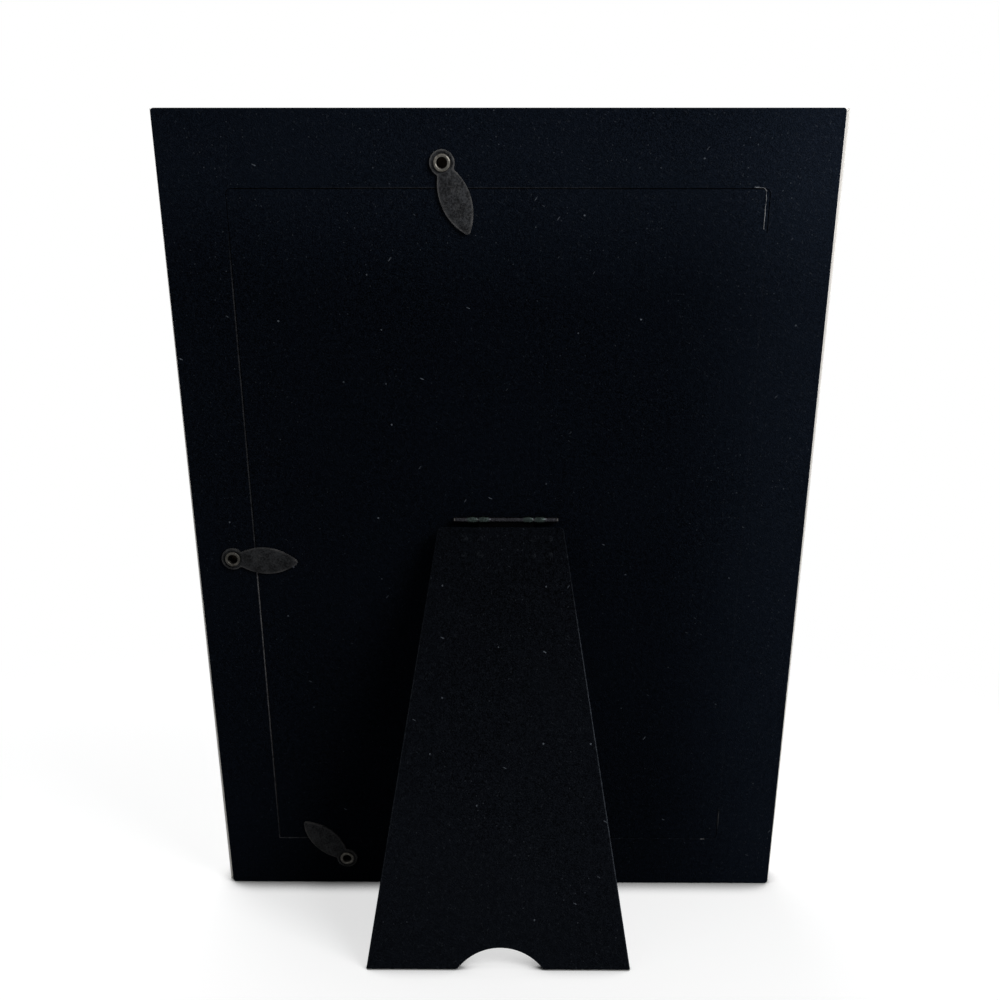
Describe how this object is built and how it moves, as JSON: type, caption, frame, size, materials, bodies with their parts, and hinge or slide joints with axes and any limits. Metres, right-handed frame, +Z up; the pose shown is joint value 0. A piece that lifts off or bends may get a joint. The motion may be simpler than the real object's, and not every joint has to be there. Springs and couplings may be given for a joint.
{
  "type": "easel-back picture frame",
  "caption": "Rectangular picture frame with a flocked back, a door held by turn buttons and a folding easel leg that stands it on a table, leaning back.",
  "frame": {"origin": "centre of the bounding box on the table that the frame stands on", "axes": "+Z up, the picture faces -Y and the leg is on the +Y side, +X to the viewer's right in front"},
  "size_m": [0.164, 0.066, 0.213],
  "materials": {
    "moulding_lacquer": "off-white lacquer on wood, faintly streaked",
    "nail_steel": "bare steel",
    "clear_glass": "plain picture glass",
    "insert_paper": "matt white paper, bare",
    "filler_board": "grey board",
    "brown_board": "brown hardboard, raw edges",
    "black_flock": "black flocked paper with lint",
    "black_paper": "black lining paper",
    "dark_steel": "dark grey stamped steel",
    "dull_brass": "dulled nickel-brass eyelet"
  },
  "bodies": {
    "frame": {"moulding_top": "moulding_lacquer", "moulding_bottom": "moulding_lacquer", "moulding_left": "moulding_lacquer", "moulding_right": "moulding_lacquer", "corner_nails": "nail_steel", "glass_pane": "clear_glass", "photo_insert": "insert_paper", "filler_card": "filler_board", "rim_board": "brown_board", "door_board": "brown_board", "back_flock": "black_flock", "eyelet_top": "dull_brass", "eyelet_side": "dull_brass", "eyelet_bottom": "dull_brass", "hinge_door_leaf": "dark_steel", "hinge_pin": "dark_steel"},
    "leg": {"leg_board": "brown_board", "leg_lining": "black_paper", "leg_flock": "black_flock", "hinge_leg_leaf": "dark_steel"},
    "top_button": {"turn_button_top": "dark_steel"},
    "side_button": {"turn_button_side": "dark_steel"},
    "bottom_button": {"turn_button_bottom": "dark_steel"}
  },
  "joints": [
    {"name": "leg_swing", "type": "hinge", "parent": "frame", "child": "leg", "pos_m": [0, 0.01057, 0.11245], "axis": [1, 0, 0], "range_deg": [-23.3, 0]},
    {"name": "top_button_turn", "type": "hinge", "parent": "frame", "child": "top_button", "pos_m": [0.0135, 0.03038, 0.19821], "axis": [0, 0.9703, -0.2419], "continuous": true},
    {"name": "side_button_turn", "type": "hinge", "parent": "frame", "child": "side_button", "pos_m": [0.0714, 0.00629, 0.10157], "axis": [0, 0.9703, -0.2419], "continuous": true},
    {"name": "bottom_button_turn", "type": "hinge", "parent": "frame", "child": "bottom_button", "pos_m": [0.0455, -0.01684, 0.00881], "axis": [0, 0.9703, -0.2419], "continuous": true}
  ]
}
